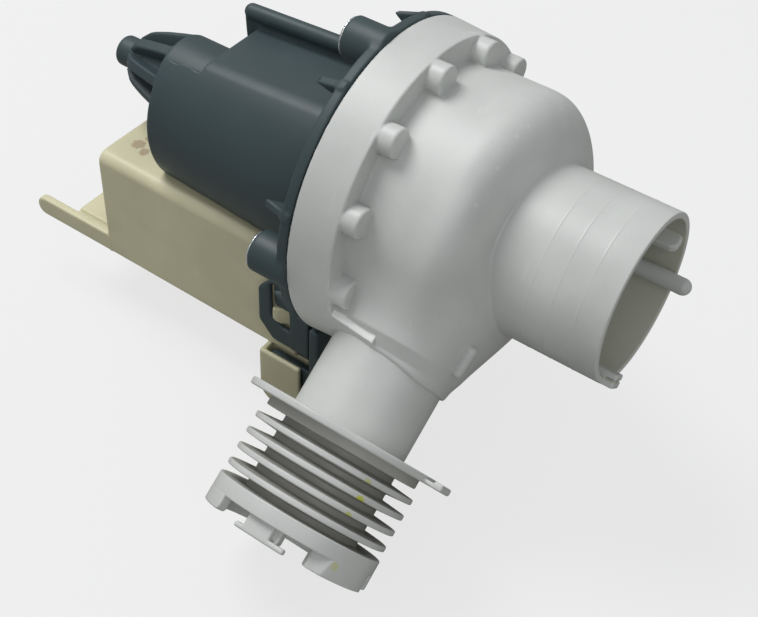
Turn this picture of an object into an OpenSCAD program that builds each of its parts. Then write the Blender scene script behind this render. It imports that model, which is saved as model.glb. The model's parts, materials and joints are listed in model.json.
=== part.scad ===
// Washer drain pump. A synchronous motor turns an impeller inside a plastic
// volute, which has a wide inlet spigot in front and a ribbed outlet with a
// bayonet end. The stator hangs in its own cover under the motor housing.
//
// An x in this file is measured along the motor axis from the back face of the
// volute's ring, and grows towards the inlet. An angle called clock is about
// that axis, from straight up towards the outlet side, which is -Y. A distance
// called s is measured from the motor axis along the outlet. The finished
// pieces are moved so that the origin is the centre of the inlet's mouth.

/* [Volute] */
// Outer radius of the ring at its back face
ring_r = 49.2; // [47:0.1:54]
// Depth of the ring along the motor axis
ring_t = 13.5; // [11:0.5:18]
// How much narrower the ring is at its front
ring_draft = 0.9; // [0:0.1:2]
// How far the drum's wall lies inside the ring's rim
drum_step = 8; // [7.7:0.1:9.7]
// Front face of the drum
drum_x = 52.5; // [50:0.5:60]
// Outer radius of the drum's rounded front edge
drum_round_r = 14; // [8:0.5:15]
// Wall of the volute
volute_wall = 3; // [2:0.1:3.4]
// Blind screw bosses round the ring
bump_count = 12; // [8:4:16]
// Radius of one blind screw boss
bump_r = 4.4; // [4:0.1:5]
// How far a blind boss stands in front of the ring
bump_h = 5; // [4:0.1:8]
// Clock angle of the first boss
first_bump = 4.5; // [0:0.5:20]

/* [Inlet] */
// Outer radius of the inlet spigot
inlet_r = 25.4; // [22:0.1:27]
// Wall of the inlet spigot
inlet_wall = 2; // [1.5:0.1:3]
// Plane of the inlet's mouth
mouth_x = 82.6; // [76:0.2:100]
// Radius of the round locating pin inside the inlet
pin_r = 2.5; // [2:0.1:3]
// How far the locating pin stands out of the mouth
pin_out = 5.4; // [2:0.1:10]

/* [Outlet] */
// Clock angle of the outlet
outlet_clock = 124.5; // [115:0.5:135]
// Outer radius of the outlet tube
outlet_r = 17.4; // [15:0.1:19]
// Wall of the outlet tube
outlet_wall = 2.8; // [2:0.1:4]
// How far the collar of the outlet tube stands out of the drum
collar_out = 7.3; // [5:0.1:12]
// Near face of the outlet's wide flange
flange_s = 69.5; // [62:0.5:80]
// Thickness of the wide flange
flange_t = 3.3; // [2:0.1:4]
// Radius of the wide flange
flange_r = 30.7; // [28:0.1:36]
// Radius of the step behind the flange
step_r = 27; // [25.5:0.1:28]
// Thickness of the step
step_t = 3.2; // [2:0.1:4]
// Fins on the outlet
fin_count = 4; // [2:1:5]
// Radius of the fins
fin_r = 24.9; // [22:0.1:25.5]
// Thickness of a fin
fin_t = 1.8; // [1.2:0.1:2.2]
// Distance from fin to fin
fin_pitch = 4.9; // [4:0.1:6]
// Radius of the end ring
end_r = 25.3; // [24:0.1:26]
// Thickness of the end ring
end_t = 4.6; // [3:0.1:6]
// How far the ear stands out of the wide flange
ear_out = 5.5; // [3:0.1:8]
// Width of the ear
ear_w = 9; // [5:0.5:14]
// Height of the bayonet lugs on the end ring
lug_h = 4.6; // [3:0.1:6]

/* [Motor housing] */
// Thickness of the housing's flange
plate_t = 3.5; // [2.5:0.1:5]
// Radius of the shroud where it meets the flange
shroud_front_r = 32.8; // [31:0.1:36]
// Radius of the shroud at its rear edge
shroud_rear_r = 29.2; // [28:0.1:30.5]
// Wall of the shroud
shroud_wall = 2.2; // [1.5:0.1:2.6]
// Rear edge of the shroud
shroud_rear_x = -69; // [-75:0.5:-65]
// Rear edge of the flat roof over the stator
roof_rear_x = -54.5; // [-58:0.5:-54]
// Height of the roof at its rear edge
roof_z = 25; // [24.8:0.1:27]
// Rise of the roof towards the flange, in degrees
roof_tilt = 3.7; // [0:0.1:5]
// Outer radius of the rotor can
can_r = 14.2; // [13.6:0.1:14.4]
// Wall of the rotor can
can_wall = 1.4; // [1:0.1:1.6]
// Rear end of the plain part of the can
can_rear_x = -80; // [-86:0.5:-79]
// Length of the ribbed nose behind the can
nose_len = 18; // [12:0.5:24]
// Ribs on the nose
nose_ribs = 8; // [4:1:10]
// Radius of the round knob at the rear end
knob_r = 5; // [3:0.1:6]
// Length of the knob
knob_len = 6.6; // [4:0.1:9]
// Radius of a screw boss on the flange
boss_r = 6.3; // [5.5:0.1:6.8]
// Length of the three long screw bosses
boss_len = 9.4; // [8:0.1:12]
// Length of the short boss in front of the stator cover
low_boss_len = 4.5; // [3:0.1:6]
// Radius of the bead on the wire rail
rail_r = 2.5; // [2:0.1:3]

/* [Stator] */
// Front end of the laminated stack
stack_front_x = -24; // [-25:0.5:-23]
// Length of the laminated stack
stack_len = 29; // [24:0.5:29]
// Width of one leg
leg_w = 12; // [10:0.5:12.5]
// Depth of the yoke that joins the legs
yoke_h = 10; // [8:0.5:11]
// Thickness of a winding round its bobbin
winding_t = 3.7; // [2:0.1:3.8]
// Wall of a bobbin
bobbin_wall = 1.2; // [0.8:0.1:1.4]
// Thickness of a bobbin's end flange
bobbin_flange_t = 1.5; // [1:0.1:2]
// Width of a plug tab
tab_w = 6.3; // [4.8:0.1:6.3]
// Thickness of a plug tab
tab_t = 0.8; // [0.5:0.1:1]

/* [Stator cover] */
// Rear end of the cover
cover_rear_x = -91; // [-98:0.5:-86]
// Front end of the cover's sides
cover_front_x = -12; // [-13:0.5:-11]
// Half the width of the cover
cover_half_w = 29.7; // [29.5:0.1:30]
// Top face of the cover
cover_top_z = -17.5; // [-18:0.1:-17]
// Bottom face of the cover
cover_bottom_z = -58.4; // [-62:0.1:-58.2]
// Wall of the cover
cover_wall = 1.8; // [1.2:0.1:1.9]
// Radius of the cover's long top edges
cover_round_r = 3.5; // [2:0.1:4]
// Length of the two rails behind the cover
arm_len = 33; // [20:0.5:40]
// Height of the rails
arm_h = 6.9; // [5:0.1:9]
// Thickness of the rails
arm_t = 2.7; // [2:0.1:3.5]
// Length of the shelf between the rails
shelf_len = 17; // [10:0.5:19]
// Depth of the two foot pockets below the cover
pocket_h = 21.5; // [15:0.5:24]

/* [Rotor and impeller] */
// Radius of the shaft
shaft_r = 2.5; // [2:0.1:2.8]
// Radial gap between the shaft and what turns on it
running_gap = 0.05; // [0.02:0.01:0.1]
// Radius of the rotor magnet
magnet_r = 12.1; // [11.4:0.1:12.2]
// Length of the rotor magnet
magnet_len = 33; // [28:0.5:33]
// Wall of the plastic sleeve inside the magnet
sleeve_wall = 3.5; // [2.5:0.1:4]
// Radius of the impeller
impeller_r = 22; // [20:0.5:25]
// Blades on the impeller
blade_count = 6; // [4:1:7]
// Thickness of a blade
blade_t = 2.2; // [1.6:0.1:3]
// Length of the blades along the shaft
blade_h = 20; // [14:0.5:23]
// Outer radius of the impeller's hub
hub_r = 9.2; // [9:0.1:10]
// Width of the driving dog, in degrees
dog_a = 70; // [50:1:80]
// Width of the stop inside the hub, in degrees
stop_a = 60; // [40:1:70]
// Width of each rubber damper, in degrees
damper_a = 12; // [8:1:14]

/* [Hidden] */
$fn = 96;
// Clearance where one fixed piece slips into another
slip = 0.15;
// Gap that keeps a moving piece off the one beside it
free_gap = 0.4;
// Overreach of a cut past the face it opens
over = 1;

bump_round_r = bump_r * 0.5;
bump_circle_r = ring_r - ring_draft - bump_r - 0.3;
drum_r = ring_r - drum_step;
screw_count = 4;
lowest_screw = 2;
screw_circle_r = bump_circle_r + 1;
screw_r = 2;
screw_tip_x = 9;
washer_t = 1.2;
head_r = 4.6;
head_h = 1.6;
pilot_depth = ring_t + bump_h - 2;

outlet_x = 28.4;
collar_s = drum_r + collar_out;
fin_gap = 1.2;
step_s = flange_s + flange_t;
first_fin_s = step_s + step_t + fin_gap;
end_s = first_fin_s + fin_count * fin_pitch - 0.5;
end_top_s = end_s + end_t;
outlet_bore_r = outlet_r - outlet_wall;
inlet_bore_r = inlet_r - inlet_wall;
finger_depth = 18;
web_t = 2;
pin_clock = -105;
tongue_clock = -70;
tongue_w = 9;
tab_clock = 150;
inlet_tab_w = 6;
chamber_r = drum_r - volute_wall;
outlet_start_s = chamber_r - 12;

seal_groove_depth = 2.3;
seal_r = seal_groove_depth / 2;
seal_ring_r = (chamber_r + screw_circle_r - screw_r) / 2 + 0.3;

can_bore_r = can_r - can_wall;
pocket_floor_x = -77.8;
can_floor_x = -70;
nose_x = can_rear_x - nose_len;
shroud_front_x = -12;
shroud_open_y = 18.5;

stack_rear_x = stack_front_x - stack_len;
stack_top_z = roof_z - shroud_wall - 0.6;
stator_bore_r = can_r + slip;
pole_bottom_z = cover_top_z + 0.5;
yoke_bottom_z = cover_bottom_z + cover_wall + slip;
yoke_top_z = yoke_bottom_z + yoke_h;
bobbin_top_z = cover_top_z - cover_round_r - slip;
bobbin_reach = bobbin_wall + winding_t + slip + 0.4;
leg_outer_y = cover_half_w - cover_wall - bobbin_reach - 4 * slip;
leg_inner_y = leg_outer_y - leg_w;

bearing_r = 5;
bearing_len = 9;
front_bearing_x = -3;
front_mount_r = 7.6;
carrier_r = 23;
carrier_t = 2;
carrier_seat = 1.5;
spigot_x = -13;
rear_bearing_x = pocket_floor_x + 0.3;
rear_mount_r = 6.9;
washer_r = 5.6;
sleeve_r = shaft_r + sleeve_wall;
magnet_x = stack_rear_x - (magnet_len - stack_len) / 2;
end_disc_t = 3;
end_disc_r = magnet_r - 0.6;

impeller_x = carrier_t - carrier_seat + 4;
disc_t = 2;
cavity_x = impeller_x + disc_t;
cavity_len = 12;
cavity_r = hub_r - 2.2;
cap_t = 5;
hub_front_x = cavity_x + cavity_len + cap_t;
dog_r = cavity_r - free_gap;
dog_hub_r = shaft_r + 1.7;
shaft_front_x = hub_front_x - 1.5;
shaft_rear_x = pocket_floor_x - 1.2;
stop_margin_a = 3;
stop_clock = dog_a / 2 + stop_margin_a + damper_a + stop_a / 2;

cover_lip_x = cover_front_x - 2;
cover_slot_half_w = leg_outer_y + 3 * slip;
strap_y = cover_half_w + 3.3;
strap_t = 2;
strap_band = 4.5;
strap_x = [-27, cover_front_x + 4];
strap_z = [-55, -31];
skirt_z = [cover_bottom_z + 1.3, -31];
foot_x = [-20, -1];
foot_y = [cover_half_w - 0.1, cover_half_w + 2.8];
foot_z = [-76, -59.5];
pocket_x = [-23, -7.5];
pocket_y = cover_half_w + 4.8;
pocket_wall = 1.6;

// Moves a finished piece from the ring's frame to the inlet's mouth
module from_mouth() translate([-mouth_x, 0, 0]) children();

// Turns children about the motor axis by a clock angle
module clock(a) rotate([a, 0, 0]) children();

// Stands a shape drawn along +Z on the motor axis at x
module on_axis(x) translate([x, 0, 0]) rotate([0, 90, 0]) children();

// Round bar on the motor axis from x0 to x1
module bar_x(x0, x1, r) on_axis(x0) cylinder(h = x1 - x0, r = r);

// Tube on the motor axis from x0 to x1
module tube_x(x0, x1, r, bore) difference() {
    bar_x(x0, x1, r);
    bar_x(x0 - over, x1 + over, bore);
}

// Box from two corners
module box(low, high) translate(low) cube(high - low);

// The same children on both sides of the motor
module both_sides() {
    children();
    mirror([0, 1, 0]) children();
}

// Places children with +Z along the outlet and +Y towards its outer side
module on_outlet() translate([outlet_x, 0, 0]) clock(outlet_clock) children();

// Part of a ring between two angles, with its axis along Z
module ring_part(r0, r1, a0, a1, h)
    rotate([0, 0, a0]) rotate_extrude(angle = a1 - a0) translate([r0, 0]) square([r1 - r0, h]);

// Upright rod whose top edge is rounded
module rounded_rod(r, h, round_r) rotate_extrude() {
    square([r - round_r, h]);
    square([r, h - round_r]);
    translate([r - round_r, h - round_r]) circle(round_r);
}

// Outline of the collar that blends the drum into the outlet
module collar_solid() on_outlet() rotate_extrude()
    polygon([[0, 18], [drum_x - outlet_x - 1, 20], [outlet_r + 2.9, 40], [outlet_r + 2, collar_s],
        [0, collar_s]]);

// Places children above each blind screw boss, at a distance from the axis
module at_each_bump(r) for (i = [0 : bump_count - 1])
    clock(first_bump + i * 360 / bump_count) translate([0, 0, r]) children();

module outlet_sleeve() on_outlet() {
    translate([0, 0, collar_s - 10]) cylinder(h = end_top_s - collar_s + 10, r = outlet_r);
    translate([0, 0, flange_s]) cylinder(h = flange_t, r = flange_r);
    box([flange_r - 4, -3, flange_s], [flange_r + ear_out, ear_w - 3, step_s]);
    translate([0, 0, step_s]) cylinder(h = step_t, r = step_r);
    for (i = [0 : fin_count - 1])
        translate([0, 0, first_fin_s + i * fin_pitch]) cylinder(h = fin_t, r = fin_r);
    translate([0, 0, end_s]) cylinder(h = end_t, r = end_r);
    for (half = [0, 180]) rotate([0, 0, half]) translate([0, 0, end_top_s - over]) bayonet();
}

// One side of the bayonet: two rim lugs and a T-shaped stop between them
module bayonet() {
    ring_part(end_r - 5, end_r - 0.2, -3, 52, lug_h + over);
    ring_part(end_r - 5, end_r - 0.2, 116, 172, lug_h + over);
    box([-3.6, end_r - 4.4, 0], [6.5, end_r - 2.2, lug_h]);
    box([-6, end_r - 4.4, lug_h - 0.5], [10, end_r - 2.2, lug_h + over + 0.4]);
}

// What stands inside the inlet: a round pin, a flat tongue and a tab
module inlet_fingers() {
    pin_circle_r = inlet_bore_r - pin_r - 1.4;
    pin_tip_x = mouth_x + pin_out - pin_r;
    root_x = mouth_x - finger_depth;
    wall_r = inlet_bore_r + inlet_wall / 4;
    clock(pin_clock) {
        translate([0, 0, pin_circle_r]) bar_x(root_x, pin_tip_x, pin_r);
        translate([pin_tip_x, 0, pin_circle_r]) sphere(pin_r);
        box([root_x, -web_t / 2, pin_circle_r + 1], [root_x + finger_depth / 2, web_t / 2, wall_r]);
    }
    clock(tongue_clock) {
        box([root_x, -tongue_w / 2, inlet_bore_r - 3], [mouth_x - 0.6, tongue_w / 2, inlet_bore_r - 1]);
        box([root_x, -web_t / 2, inlet_bore_r - 2], [mouth_x - finger_depth / 3, web_t / 2, wall_r]);
    }
    clock(tab_clock)
        box([root_x, -inlet_tab_w / 2, inlet_bore_r - 2.4], [mouth_x + 3.4, inlet_tab_w / 2, wall_r]);
}

module volute_casing() color("gainsboro") from_mouth() {
    difference() {
        union() {
            on_axis(0) cylinder(h = ring_t, r1 = ring_r, r2 = ring_r - ring_draft);
            at_each_bump(bump_circle_r) on_axis(over)
                rounded_rod(bump_r, ring_t + bump_h - over, bump_round_r);
            on_axis(0) rounded_rod(drum_r, drum_x, drum_round_r);
            bar_x(drum_x - drum_round_r, drum_x, inlet_r);
            collar_solid();
            outlet_sleeve();
        }
        on_axis(-over) rounded_rod(chamber_r, drum_x - volute_wall + over, drum_round_r - volute_wall);
        bar_x(drum_x - volute_wall - over, mouth_x, inlet_bore_r);
        on_outlet() translate([0, 0, outlet_start_s]) cylinder(h = end_top_s + lug_h, r = outlet_bore_r);
        tube_x(-over, seal_groove_depth, seal_ring_r + seal_r + 0.1, seal_ring_r - seal_r - 0.1);
        at_each_bump(screw_circle_r) bar_x(-over, pilot_depth, screw_r + running_gap);
    }
}

// Spigot in front of the drum, moulded in one with it on the real pump
module inlet_spigot() color("gainsboro") from_mouth() {
    tube_x(drum_x, mouth_x, inlet_r, inlet_bore_r);
    inlet_fingers();
}

module casing_seal() color("black") from_mouth()
    on_axis(seal_r) rotate_extrude() translate([seal_ring_r, 0]) circle(seal_r);

// The shroud's outer shape, made smaller all round by inset
module shroud_form(inset) {
    intersection() {
        on_axis(shroud_rear_x - over) cylinder(h = -shroud_rear_x - plate_t + over + 0.5,
            r1 = shroud_rear_r - inset, r2 = shroud_front_r - inset);
        translate([roof_rear_x, 0, roof_z - inset]) rotate([0, -roof_tilt, 0])
            box([-40, -60, -120], [80, 60, 0]);
    }
}

module shroud() difference() {
    shroud_form(0);
    shroud_form(shroud_wall);
    box([nose_x, -ring_r, -ring_r], [0, ring_r, cover_top_z]);
    box([nose_x, -ring_r, -ring_r], [shroud_rear_x, ring_r, ring_r]);
    box([nose_x, -shroud_open_y, -ring_r], [roof_rear_x, ring_r, ring_r]);
}

// Rail with a beaded edge for the wiring, on the far side of the roof
module wire_rail() translate([roof_rear_x, 8, roof_z]) rotate([0, -roof_tilt, 0]) {
    front = -roof_rear_x - 6;
    rear = -5;
    bead_z = 4.2;
    box([rear, -1, rear], [0, 1, bead_z]);
    box([-over, -1, -over], [front, 1, bead_z]);
    translate([rear + rail_r, 0, bead_z]) rotate([0, 90, 0]) cylinder(h = front - rear - rail_r, r = rail_r);
    translate([rear + rail_r, 0, bead_z]) sphere(rail_r);
}

// Tapered nose behind the can, with ribs and a knob at its end
module nose() {
    on_axis(nose_x) cylinder(h = nose_len + over, r1 = knob_r, r2 = can_r - 5);
    for (i = [0 : nose_ribs - 1]) clock((i + 0.5) * 360 / nose_ribs) rotate([90, 0, 0])
        translate([0, 0, -1.8]) linear_extrude(3.6)
        polygon([[can_rear_x + over, 0], [can_rear_x + over, can_r - 0.3], [can_rear_x, can_r - 0.3],
            [can_rear_x - nose_len * 0.2, can_r - 1.3], [can_rear_x - nose_len * 0.55, can_r - 3.1],
            [can_rear_x - nose_len * 0.8, can_r - 4.7], [nose_x, knob_r + 1.4], [nose_x, 0]]);
    bar_x(nose_x - knob_len, nose_x + over, knob_r);
}

// Puts children where each screw seats on its boss, whose length is $boss_len
module at_each_screw() for (i = [0 : screw_count - 1]) {
    $boss_len = i == lowest_screw ? low_boss_len : boss_len;
    clock(first_bump + i * 360 / screw_count)
        translate([-plate_t - $boss_len, 0, screw_circle_r]) children();
}

// Small teeth on the rim between the screw bosses
module rim_teeth() for (i = [0 : 2 * screw_count - 1])
    clock(first_bump + (i + 0.5) * 180 / screw_count) rotate([90, 0, 0])
    translate([0, 0, -1.3]) linear_extrude(2.6)
    polygon([[-plate_t + 0.1, ring_r - 7], [-plate_t + 0.1, ring_r], [-plate_t - 7.5, ring_r - 2.5]]);

// Side skirt, strap and foot that hold the stator cover, on the outlet side
module cover_holder() {
    box([cover_front_x + 0.3, -cover_half_w, skirt_z[0]], [-over, 1.8 - cover_half_w, skirt_z[1]]);
    difference() {
        box([strap_x[0], -strap_y, strap_z[0]], [strap_x[1], strap_t - strap_y, strap_z[1]]);
        box([strap_x[0] + strap_band, -strap_y - over, strap_z[0] + strap_band + 0.5],
            [cover_front_x - 3, strap_t + over - strap_y, strap_z[1] - strap_band - 0.5]);
    }
    box([cover_front_x + 0.3, -strap_y, strap_z[0]], [strap_x[1], 1 - cover_half_w, strap_z[1]]);
    box([foot_x[0], -foot_y[1], foot_z[0]], [foot_x[1], -foot_y[0], foot_z[1]]);
    box([-plate_t, -foot_y[1], foot_z[0]], [0, -20, -38]);
}

module motor_housing() color("slategray") from_mouth() {
    difference() {
        union() {
            bar_x(-plate_t, 0, ring_r);
            shroud();
            on_axis(shroud_front_x) cylinder(h = -shroud_front_x - plate_t + 0.5,
                r1 = shroud_front_r - 0.3, r2 = shroud_front_r + 5);
            bar_x(can_rear_x, -0.5, can_r);
            nose();
            wire_rail();
            rim_teeth();
            both_sides() cover_holder();
            at_each_screw() bar_x(0, $boss_len + plate_t - 0.4, boss_r);
        }
        difference() {
            bar_x(shroud_front_x - over, -plate_t, shroud_front_r - shroud_wall);
            bar_x(shroud_front_x - 2 * over, over, can_r);
        }
        bar_x(can_floor_x, over, can_bore_r);
        bar_x(pocket_floor_x, over, rear_mount_r);
        bar_x(shaft_rear_x - 0.6, over, shaft_r + 0.5);
        bar_x(-carrier_seat, over, carrier_r + slip);
        at_each_screw() bar_x(-over, $boss_len + plate_t + over, screw_r + 0.3);
    }
}

module bearing_carrier() color("dimgray") from_mouth() difference() {
    union() {
        bar_x(-carrier_seat, carrier_t - carrier_seat, carrier_r);
        bar_x(spigot_x, 0, can_bore_r - slip);
    }
    bar_x(spigot_x - over, front_bearing_x, front_mount_r);
    bar_x(spigot_x - over, carrier_t + over, shaft_r + 0.5);
}

module front_bearing() color("rosybrown") from_mouth()
    tube_x(front_bearing_x - bearing_len, front_bearing_x, bearing_r, shaft_r + running_gap);

module front_bearing_mount() color("black") from_mouth()
    tube_x(front_bearing_x - bearing_len, front_bearing_x, front_mount_r, bearing_r);

module rear_bearing() color("rosybrown") from_mouth()
    tube_x(rear_bearing_x, rear_bearing_x + bearing_len, bearing_r, shaft_r + running_gap);

module rear_bearing_mount() color("black") from_mouth()
    tube_x(pocket_floor_x, can_floor_x, rear_mount_r, bearing_r);

module rotor_shaft() color("silver") from_mouth() bar_x(shaft_rear_x, shaft_front_x, shaft_r);

module rotor_magnet() color("darkslategray") from_mouth()
    tube_x(magnet_x, magnet_x + magnet_len, magnet_r, sleeve_r);

// Moulded sleeve that holds the magnet on the shaft between two end discs
module rotor_sleeve() color("tan") from_mouth() difference() {
    union() {
        bar_x(rear_bearing_x + bearing_len + 1.4, spigot_x - 1.4, sleeve_r - 0.8);
        bar_x(magnet_x - 0.5, magnet_x + magnet_len + 0.5, sleeve_r);
        bar_x(magnet_x - end_disc_t, magnet_x, end_disc_r);
        bar_x(magnet_x + magnet_len, magnet_x + magnet_len + end_disc_t, end_disc_r);
    }
    bar_x(shaft_rear_x, shaft_front_x, shaft_r);
}

module thrust_washer(x) color("ivory") from_mouth()
    tube_x(x, x + 1, washer_r, shaft_r + running_gap);

module front_thrust_washer() thrust_washer(spigot_x - 1.2);

module rear_thrust_washer() thrust_washer(rear_bearing_x + bearing_len + 0.2);

// Sector about the motor axis, centred on a clock angle
module sector_x(x0, x1, r0, r1, a) on_axis(x0) rotate([0, 0, 180 - a / 2])
    rotate_extrude(angle = a) translate([r0, 0]) square([r1 - r0, x1 - x0]);

module driving_dog() color("goldenrod") from_mouth() difference() {
    union() {
        bar_x(cavity_x + free_gap, cavity_x + cavity_len - free_gap, dog_hub_r);
        sector_x(cavity_x + free_gap, cavity_x + cavity_len - free_gap, dog_hub_r - 0.5, dog_r, dog_a);
    }
    bar_x(cavity_x, cavity_x + cavity_len, shaft_r);
}

module impeller() color("darkgray") from_mouth() {
    difference() {
        union() {
            bar_x(impeller_x, cavity_x, impeller_r);
            bar_x(impeller_x, hub_front_x, hub_r);
            for (i = [0 : blade_count - 1]) clock(i * 360 / blade_count)
                box([cavity_x - over, -blade_t / 2, hub_r - 0.5],
                    [cavity_x + blade_h, blade_t / 2, impeller_r - 0.6]);
        }
        bar_x(cavity_x, hub_front_x + over, cavity_r);
        bar_x(impeller_x - over, cavity_x + over, shaft_r + running_gap);
    }
    clock(stop_clock)
        sector_x(cavity_x - over, cavity_x + cavity_len, dog_hub_r + free_gap, cavity_r + 0.5, stop_a);
}

// Cap pressed into the hub, which carries the front end of the shaft
module impeller_cap() color("gray") from_mouth() difference() {
    bar_x(cavity_x + cavity_len, hub_front_x, cavity_r);
    bar_x(cavity_x, shaft_front_x + 0.5, shaft_r + running_gap);
}

module impeller_damper() color("black") from_mouth()
    for (side = [-1, 1]) clock(stop_clock + side * (stop_a + damper_a) / 2)
        sector_x(cavity_x, cavity_x + cavity_len, dog_hub_r + free_gap, cavity_r, damper_a);

// One lamination: two poles round the can, two legs and the yoke below
module lamination() difference() {
    union() {
        polygon([[-leg_outer_y, pole_bottom_z], [leg_outer_y, pole_bottom_z],
            [leg_outer_y, stack_top_z - 8], [leg_outer_y - 6.5, stack_top_z],
            [6.5 - leg_outer_y, stack_top_z], [-leg_outer_y, stack_top_z - 8]]);
        for (side = [-1, 1]) translate([side * (leg_outer_y - leg_w / 2) - leg_w / 2, yoke_bottom_z])
            square([leg_w, pole_bottom_z - yoke_bottom_z + over]);
        translate([-leg_outer_y, yoke_bottom_z]) square([2 * leg_outer_y, yoke_h]);
    }
    circle(stator_bore_r);
    translate([-1.5, 0]) square([3, stack_top_z + over]);
    translate([-1.5, pole_bottom_z - over]) square([3, -pole_bottom_z]);
}

module stator_core() color("lightslategray") from_mouth()
    translate([stack_rear_x, 0, 0]) rotate([90, 0, 90]) linear_extrude(stack_len) lamination();

// Box round the right leg, grown by a margin on its four sides
module leg_box(margin, z0, z1) box(
    [stack_rear_x - margin, leg_inner_y - margin, z0],
    [stack_front_x + margin, leg_outer_y + margin, z1]);

// Bobbin with a shelf behind it that carries its plug tab
module bobbin() difference() {
    union() {
        leg_box(slip + bobbin_wall, yoke_top_z, bobbin_top_z);
        leg_box(slip + bobbin_reach, yoke_top_z, yoke_top_z + bobbin_flange_t);
        leg_box(slip + bobbin_reach, bobbin_top_z - bobbin_flange_t, bobbin_top_z);
        box([stack_rear_x - 20, leg_inner_y, yoke_top_z],
            [stack_rear_x, leg_outer_y, yoke_top_z + bobbin_flange_t]);
    }
    leg_box(slip, yoke_top_z - over, bobbin_top_z + over);
}

module winding() difference() {
    leg_box(slip + bobbin_wall + winding_t, yoke_top_z + bobbin_flange_t, bobbin_top_z - bobbin_flange_t);
    leg_box(slip + bobbin_wall, yoke_top_z, bobbin_top_z);
}

// Flat tab that lies on the bobbin's shelf and comes out behind the cover
module plug_tab() {
    y = (leg_inner_y + leg_outer_y) / 2 - tab_w / 2;
    z = yoke_top_z + bobbin_flange_t;
    box([cover_rear_x - 9, y, z], [stack_rear_x - 9, y + tab_w, z + tab_t]);
}

module right_bobbin() color("wheat") from_mouth() bobbin();

module left_bobbin() color("wheat") from_mouth() mirror([0, 1, 0]) bobbin();

module right_winding() color("peru") from_mouth() winding();

module left_winding() color("peru") from_mouth() mirror([0, 1, 0]) winding();

module right_plug_tab() color("gold") from_mouth() plug_tab();

module left_plug_tab() color("gold") from_mouth() mirror([0, 1, 0]) plug_tab();

// Cross-section of the cover with its long top edges rounded
module cover_section(inset) {
    w = cover_half_w - inset;
    top = cover_top_z - inset;
    bottom = cover_bottom_z + inset;
    r = cover_round_r - inset;
    translate([-w, bottom]) square([2 * w, top - bottom - r]);
    translate([r - w, bottom]) square([2 * (w - r), top - bottom]);
    for (side = [-1, 1]) translate([side * (w - r), top - r]) circle(r);
}

// Foot pocket under the front corner of the cover, open in front and above
module foot_pocket() {
    box([pocket_x[0], -pocket_y, cover_bottom_z - pocket_h],
        [pocket_x[1], pocket_wall - pocket_y, cover_bottom_z]);
    box([pocket_x[0], -foot_y[0] + 0.4, cover_bottom_z - pocket_h],
        [pocket_x[1], pocket_wall - foot_y[0] + 0.4, cover_bottom_z + 1]);
    box([pocket_x[0], -pocket_y, cover_bottom_z - pocket_h],
        [pocket_x[0] + pocket_wall, pocket_wall - foot_y[0], cover_bottom_z]);
    box([pocket_x[0], -pocket_y, cover_bottom_z - pocket_h],
        [pocket_x[1], pocket_wall - foot_y[0], cover_bottom_z - pocket_h + pocket_wall]);
}

// Wedge on the cover's side that snaps into the strap's window
module snap_nub() translate([-20, -cover_half_w, -46]) linear_extrude(5)
    polygon([[0, 0.5], [0, -3], [1.2, -3], [4.6, 0], [4.6, 0.5]]);

// Rail behind the cover, with a round tip
module rail_arm() rotate([90, 0, 0]) translate([0, 0, cover_half_w - arm_t]) linear_extrude(arm_t) {
    tip_r = arm_h / 2;
    translate([cover_rear_x - arm_len + tip_r, cover_bottom_z]) square([arm_len - tip_r + over, arm_h]);
    translate([cover_rear_x - arm_len + tip_r, cover_bottom_z + tip_r]) circle(tip_r);
}

module stator_cover() color("cornsilk") from_mouth() {
    difference() {
        translate([cover_rear_x, 0, 0]) rotate([90, 0, 90])
            linear_extrude(cover_front_x - cover_rear_x) cover_section(0);
        translate([cover_rear_x + cover_wall, 0, 0]) rotate([90, 0, 90])
            linear_extrude(cover_lip_x - cover_rear_x - 2 * cover_wall) cover_section(cover_wall);
        translate([cover_lip_x, 0, 0]) rotate([90, 0, 90])
            linear_extrude(-cover_lip_x) cover_section(cover_wall);
        box([shroud_rear_x + 1, -cover_slot_half_w, cover_top_z - cover_wall - over],
            [cover_lip_x - cover_wall, cover_slot_half_w, 0]);
        both_sides() box([cover_rear_x - over, leg_inner_y + 2, yoke_top_z + bobbin_flange_t - 0.2],
            [cover_rear_x + cover_wall + over, leg_outer_y - 2, yoke_top_z + bobbin_flange_t + tab_t + 0.2]);
    }
    both_sides() {
        rail_arm();
        foot_pocket();
        snap_nub();
    }
    box([cover_rear_x - shelf_len, -cover_half_w + 1, cover_bottom_z + arm_h - 2],
        [cover_rear_x + 1, cover_half_w - 1, cover_bottom_z + arm_h]);
}

// Hexagon washer-head screw, pointing along +X, with its washer seated at zero
module casing_screw(shank) {
    bar_x(0, shank, screw_r);
    bar_x(-washer_t, 0, boss_r - 0.1);
    on_axis(-washer_t - head_h) cylinder(h = head_h, r = head_r, $fn = 6);
}

module casing_screws() color("silver") from_mouth()
    at_each_screw() casing_screw(plate_t + boss_len + screw_tip_x);

volute_casing();
inlet_spigot();
casing_seal();
motor_housing();
bearing_carrier();
front_bearing();
front_bearing_mount();
rear_bearing();
rear_bearing_mount();
rotor_shaft();
rotor_magnet();
rotor_sleeve();
front_thrust_washer();
rear_thrust_washer();
driving_dog();
impeller();
impeller_cap();
impeller_damper();
stator_core();
left_bobbin();
right_bobbin();
left_winding();
right_winding();
left_plug_tab();
right_plug_tab();
stator_cover();
casing_screws();
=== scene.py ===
"""Looks of the washer drain pump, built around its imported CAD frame.

The moulded pieces are drawn as distance fields and meshed at their zero surface, so that ribs, bosses and
walls run into one another with real fillets. Round turned forms are lathed. Lengths are millimetres in the
frame of part.scad: x runs along the motor axis from the back of the volute's ring, +z is up and -y is the
outlet side. Meshes are moved to the CAD frame, in metres, whose origin is the centre of the inlet's mouth.
"""

import json
import math

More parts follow.
